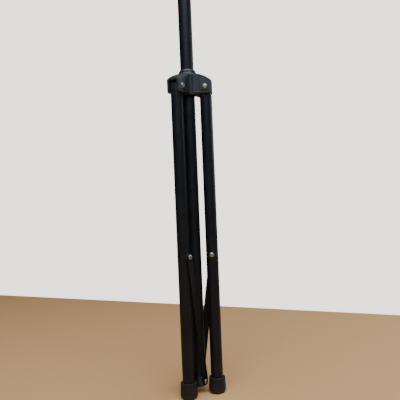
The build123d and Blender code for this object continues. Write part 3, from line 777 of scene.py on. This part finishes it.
def make_lock_knob():
    """A lobed hand knob with a dished face on a short neck."""
    node = "lock_knob"
    outward = Vector(joint_named("lock_knob_turn")["axis"])
    start = Vector((0, 0, middle_of(node).z))
    corners = [(KNOB_BORE_R, KNOB_NECK, 0.2 * MM), (KNOB_NECK_R, KNOB_NECK, 0.6 * MM),
               (KNOB_NECK_R, KNOB_BACK, 0.8 * MM), (KNOB_R, KNOB_BACK, 2.0 * MM),
               (KNOB_R, KNOB_FACE, 2.4 * MM), (KNOB_DISH_R, KNOB_FACE, 0.8 * MM),
               (KNOB_DISH_FLOOR_R, KNOB_FACE - KNOB_DISH_DEPTH, 0.8 * MM),
               (0, KNOB_FACE - KNOB_DISH_MIDDLE, 0)]
    bore_floor = KNOB_NECK + KNOB_BORE_DEPTH

    def lobed(angle, r, z):
        if z <= KNOB_LOBES_START:
            return r
        valley = (0.5 - 0.5 * math.cos(KNOB_LOBES * angle)) ** KNOB_VALLEY_SHAPE
        share = max(0.0, (r - KNOB_CORE) / (KNOB_R - KNOB_CORE))
        return r - KNOB_VALLEY * valley * share

    bm = bmesh.new()
    outline = rounded(corners, 6) + [Vector((0, bore_floor)), Vector((KNOB_BORE_R, bore_floor))]
    lathe(bm, outline, along(start, start + outward), closed=True, segments=KNOB_SEGMENTS, reach=lobed)
    add_piece("lock_hand_knob", bm, node, RIBBED_SHARP)


# ---- height clutch ------------------------------------------------------------------------

CLUTCH_RINGS = (7 * MM, 11 * MM)       # heights of the turned rings
CLUTCH_RING = 0.6 * MM                 # a ring's depth and half its width
CLUTCH_CHAMFER = 2 * MM
CLUTCH_STEP = 3.5 * MM                 # from the collar's side in to the sleeve
CLUTCH_GAP = 1 * MM                    # from the collar up to the grip
CLUTCH_SEAT = 1.4 * MM                 # how far the collar laps over the column's end


def make_clutch_body():
    """The collar on the column, with two turned rings."""
    node = "clutch_body"
    radius = size_of(node).x / 2
    column = size_of("column_tube").x / 2
    column_top = heights_of("column_tube")[1]
    low, high = heights_of(node)
    collar_top = heights_of("clutch_grip")[0] - CLUTCH_GAP
    sleeve = radius - CLUTCH_STEP
    seat = column - CLUTCH_SEAT
    corners = [(column, low, 0.3 * MM), (radius - CLUTCH_CHAMFER, low, 0.6 * MM),
               (radius, low + CLUTCH_CHAMFER, 0.8 * MM)]
    for ring in CLUTCH_RINGS:
        corners += [(radius, low + ring - CLUTCH_RING, 0.15 * MM),
                    (radius - CLUTCH_RING, low + ring, 0.2 * MM),
                    (radius, low + ring + CLUTCH_RING, 0.15 * MM)]
    corners += [(radius, collar_top, 0.8 * MM), (sleeve, collar_top, 0.3 * MM), (sleeve, high, 0.5 * MM),
                (seat, high, 0.3 * MM), (seat, column_top, 0.2 * MM), (column, column_top, 0.2 * MM)]
    bm = bmesh.new()
    lathe(bm, rounded(corners), upright(node), closed=True)
    add_piece("clutch_collar", bm, node)


GRIP_SLEEVE_ROOM = 13.3 * MM           # radii inside the grip, from the bottom up
GRIP_COLLET_ROOM = 11.5 * MM
GRIP_TUBE_ROOM = 8.3 * MM
GRIP_LEDGE = 19 * MM                   # from here on, distances down from the grip's top
GRIP_ROOF = 9 * MM
GRIP_RIBS_TOP = 8 * MM
GRIP_SHOULDER = 7 * MM
GRIP_CROWN = 4 * MM
GRIP_CROWN_INSET = 3 * MM
GRIP_SKIRT = 5 * MM                    # plain band at the bottom
GRIP_RIBS_BOTTOM = 5.6 * MM
GRIP_RIBS = 24
GRIP_SEGMENTS = GRIP_RIBS * 12
RIB_STEPS = 24                         # rings along the ribs
RIB_INSET = 0.02 * MM                  # from the plain bands in to the top of the ribs
RIB_DEPTH = 1.3 * MM
RIB_FADE = 3 * MM                      # length over which a rib dies away at its ends
RIB_SKIN = 0.5 * MM                    # only what is nearer the outside than this has ribs


def make_clutch_grip():
    """The nut that is turned by hand: ribs all round, plain shoulders, a stepped bore."""
    node = "clutch_grip"
    radius = size_of(node).x / 2
    low, high = heights_of(node)
    ledge = high - GRIP_LEDGE
    roof = high - GRIP_ROOF
    rib_low = low + GRIP_RIBS_BOTTOM
    rib_high = high - GRIP_RIBS_TOP
    corners = [(GRIP_SLEEVE_ROOM, low, 0.3 * MM), (radius, low, 1.0 * MM),
               (radius, low + GRIP_SKIRT, 0.3 * MM)]
    for step in range(RIB_STEPS + 1):
        corners.append((radius - RIB_INSET, rib_low + (rib_high - rib_low) * step / RIB_STEPS, 0))
    corners += [(radius, high - GRIP_SHOULDER, 0.3 * MM), (radius, high - GRIP_CROWN, 1.2 * MM),
                (radius - GRIP_CROWN_INSET, high, 1.2 * MM), (GRIP_TUBE_ROOM, high, 0.4 * MM),
                (GRIP_TUBE_ROOM, roof, 0.2 * MM), (GRIP_COLLET_ROOM, roof, 0.2 * MM),
                (GRIP_COLLET_ROOM, ledge, 0.2 * MM), (GRIP_SLEEVE_ROOM, ledge, 0.2 * MM)]

    def ribbed(angle, r, z):
        if r < radius - RIB_SKIN or z < rib_low or z > rib_high:
            return r
        ends = min((z - rib_low) / RIB_FADE, (rib_high - z) / RIB_FADE, 1.0)
        valley = (0.5 - 0.5 * math.cos(GRIP_RIBS * angle)) ** 2
        return r - RIB_DEPTH * valley * math.sin(ends * math.pi / 2)

    bm = bmesh.new()
    lathe(bm, rounded(corners), upright(node), closed=True, segments=GRIP_SEGMENTS, reach=ribbed)
    add_piece("clutch_nut", bm, node, RIBBED_SHARP)


# ---- boom ends ----------------------------------------------------------------------------

PLUG_R = 6.8 * MM            # what fits inside the boom
FLANGE_HEIGHT = 6 * MM
FLANGE_RINGS = (2 * MM, 4 * MM)
FLANGE_RING = 0.3 * MM       # a ring's depth and half its width
STUD_R = 4.76 * MM
THREAD_PITCH = 25.4 / 16 * MM
THREAD_DEPTH = 0.95 * MM
THREAD_STEPS = 12            # rings for each turn
THREAD_CHAMFER = 0.5 * MM
THREAD_CHAMFER_TURNS = 0.8   # length of the chamfer, in turns
STUD_SEGMENTS = 72
HAIR = 1e-6


def make_mic_stud():
    """The flanged plug at the microphone end, with a real helical thread."""
    node = "mic_stud"
    low, high = heights_of(node)
    tube_top = heights_of("boom_tube")[1]
    flange_top = tube_top + FLANGE_HEIGHT
    flange = size_of(node).x / 2
    corners = [(0, low, 0), (PLUG_R, low, 0.5 * MM), (PLUG_R, tube_top, 0), (flange, tube_top, 0.4 * MM)]
    for ring in FLANGE_RINGS:
        corners += [(flange, tube_top + ring - FLANGE_RING, 0), (flange - FLANGE_RING, tube_top + ring, 0),
                    (flange, tube_top + ring + FLANGE_RING, 0)]
    corners += [(flange, flange_top, 0.5 * MM), (STUD_R, flange_top, 0)]
    rings = int((high - flange_top) / THREAD_PITCH * THREAD_STEPS)
    for ring in range(1, rings):
        corners.append((STUD_R, flange_top + (high - flange_top) * ring / rings, 0))
    corners += [(STUD_R, high, 0), (0, high, 0)]

    def threaded(angle, r, z):
        if z <= flange_top + HAIR or r < STUD_R - HAIR:
            return r
        phase = (z / THREAD_PITCH - angle / (2 * math.pi)) % 1.0
        tooth = abs(2 * phase - 1)
        start = min((z - flange_top) / THREAD_PITCH, 1.0)
        end = min((high - z) / (THREAD_CHAMFER_TURNS * THREAD_PITCH), 1.0)
        return r - THREAD_DEPTH * tooth * start - THREAD_CHAMFER * (1 - end)

    bm = bmesh.new()
    lathe(bm, rounded(corners, 3), upright(node), segments=STUD_SEGMENTS, reach=threaded)
    add_piece("microphone_stud", bm, node, THREAD_SHARP)


def make_boom_cap():
    """The rubber plug at the boom's rear end."""
    node = "boom_end_cap"
    low, high = heights_of(node)
    tube_low = heights_of("boom_tube")[0]
    radius = size_of(node).x / 2
    outline = rounded([(0, low, 0), (radius, low, 3.0 * MM), (radius, tube_low, 0.6 * MM),
                       (PLUG_R, tube_low, 0), (PLUG_R, high, 0.6 * MM), (0, high, 0)])
    bm = bmesh.new()
    lathe(bm, outline, upright(node))
    add_piece("boom_rear_cap", bm, node)


# ---- put together -------------------------------------------------------------------------

def dress_cad_nodes():
    """CAD nodes whose own shape is shown get their slot's material."""
    for node, slot in RECORD_SLOT.items():
        mesh = frame["nodes"][node].data
        mesh.materials.clear()
        mesh.materials.append(MATERIALS[slot])


def make_stand():
    """Every piece of the stand, from the tubes and the tripod up to the boom."""
    make_tubes()
    soften("housing", "leg_housing", voxel=0.30 * MM, passes=2, keep=0.22)
    make_bush()
    make_hinge_rivets()
    make_lock_knob()
    for leg in LEGS:
        make_foot(leg)
        make_leg_rivet(leg)
        make_strut_rivet(leg)
        soften(f"leg_{leg}_tongue", f"leg_head_{leg}", voxel=0.4 * MM, passes=3, keep=0.3)
        soften(f"leg_{leg}_saddle", f"strut_spacer_{leg}", voxel=0.2 * MM, passes=3, keep=0.4)
        bevelled(f"strut_{leg}_strip", f"strut_{leg}", width=0.35 * MM)
    soften("column_plug", "column_foot", voxel=0.35 * MM, passes=3, keep=0.3)
    make_clutch_body()
    make_clutch_grip()
    soften("tilt_yoke", "boom_yoke", voxel=0.4 * MM, passes=5, keep=0.35)
    soften("tilt_clamp", "boom_clamp", voxel=0.4 * MM, passes=5, keep=0.35)
    soften("tilt_bolt", "clamp_bolt", voxel=0.3 * MM, passes=3, keep=0.4)
    soften("tilt_handle", "clamp_handle", voxel=0.35 * MM, passes=8, keep=0.4)
    make_mic_stud()
    make_boom_cap()


make_camera()
make_floor()
make_world()
make_lights()
dress_cad_nodes()
make_stand()
